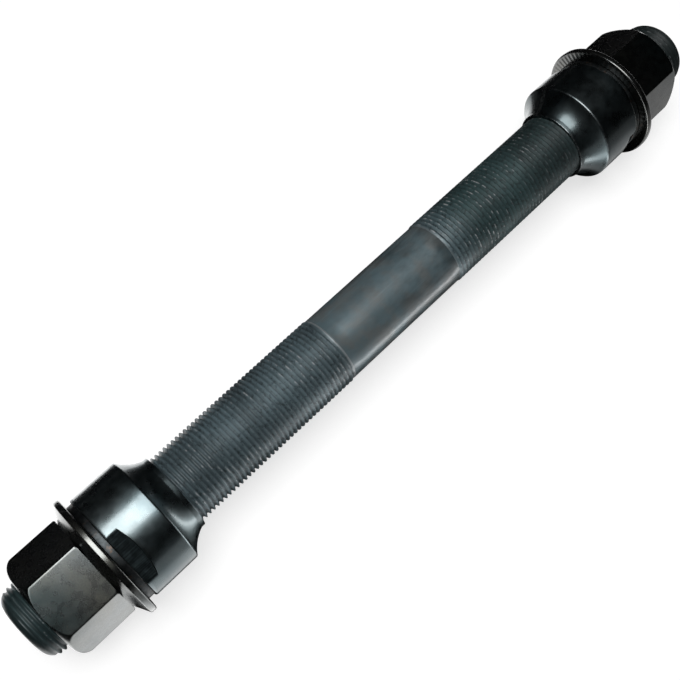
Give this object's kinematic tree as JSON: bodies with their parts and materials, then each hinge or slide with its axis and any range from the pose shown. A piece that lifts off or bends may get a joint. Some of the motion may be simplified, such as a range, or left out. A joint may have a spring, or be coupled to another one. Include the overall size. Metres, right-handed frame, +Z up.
{
  "type": "bicycle hub axle",
  "caption": "Solid threaded hub axle of dark steel with bearing cones, lock washers and tall hexagon nuts with captive washers.",
  "frame": {"origin": "middle of the axle, on its own axis", "axes": "+X along the axle to its right end, which carries the longer free stub; +Z up; the axle lies level"},
  "size_m": [0.18, 0.0264, 0.0264],
  "materials": {
    "axle_steel": "satin, blued",
    "cone_steel": "polished, blued",
    "washer_steel": "satin, blued",
    "nut_steel": "semi-gloss, blued"
  },
  "bodies": {
    "axle": {"axle": "axle_steel"},
    "left_nut_washer": {"left_nut_washer": "nut_steel"},
    "left_axle_nut": {"left_axle_nut": "nut_steel"},
    "left_lock_washer": {"left_lock_washer": "washer_steel"},
    "left_cone": {"left_cone": "cone_steel"},
    "right_nut_washer": {"right_nut_washer": "nut_steel"},
    "right_axle_nut": {"right_axle_nut": "nut_steel"},
    "right_lock_washer": {"right_lock_washer": "washer_steel"},
    "right_cone": {"right_cone": "cone_steel"}
  },
  "joints": [
    {"name": "left_nut_travel", "type": "slide", "parent": "axle", "child": "left_nut_washer", "axis": [-1, 0, 0], "range_m": [0, 0.018]},
    {"name": "left_nut_spin", "type": "hinge", "parent": "left_nut_washer", "child": "left_axle_nut", "pos_m": [-0.0712, 0, 0], "axis": [-1, 0, 0], "range_deg": [0, 6480]},
    {"name": "left_cone_travel", "type": "slide", "parent": "axle", "child": "left_lock_washer", "axis": [1, 0, 0], "range_m": [0, 0.039]},
    {"name": "left_cone_spin", "type": "hinge", "parent": "left_lock_washer", "child": "left_cone", "pos_m": [-0.0712, 0, 0], "axis": [1, 0, 0], "range_deg": [0, 14040]},
    {"name": "right_nut_travel", "type": "slide", "parent": "axle", "child": "right_nut_washer", "axis": [1, 0, 0], "range_m": [0, 0.02]},
    {"name": "right_nut_spin", "type": "hinge", "parent": "right_nut_washer", "child": "right_axle_nut", "pos_m": [0.0688, 0, 0], "axis": [1, 0, 0], "range_deg": [0, 7200]},
    {"name": "right_cone_travel", "type": "slide", "parent": "axle", "child": "right_lock_washer", "axis": [-1, 0, 0], "range_m": [0, 0.037]},
    {"name": "right_cone_spin", "type": "hinge", "parent": "right_lock_washer", "child": "right_cone", "pos_m": [0.0688, 0, 0], "axis": [-1, 0, 0], "range_deg": [0, 13320]}
  ],
  "couplings": [
    {"joint": "left_nut_travel", "follows": "left_nut_spin", "m_per_rad": 0.00015915},
    {"joint": "left_cone_travel", "follows": "left_cone_spin", "m_per_rad": 0.00015915},
    {"joint": "right_nut_travel", "follows": "right_nut_spin", "m_per_rad": 0.00015915},
    {"joint": "right_cone_travel", "follows": "right_cone_spin", "m_per_rad": 0.00015915}
  ]
}
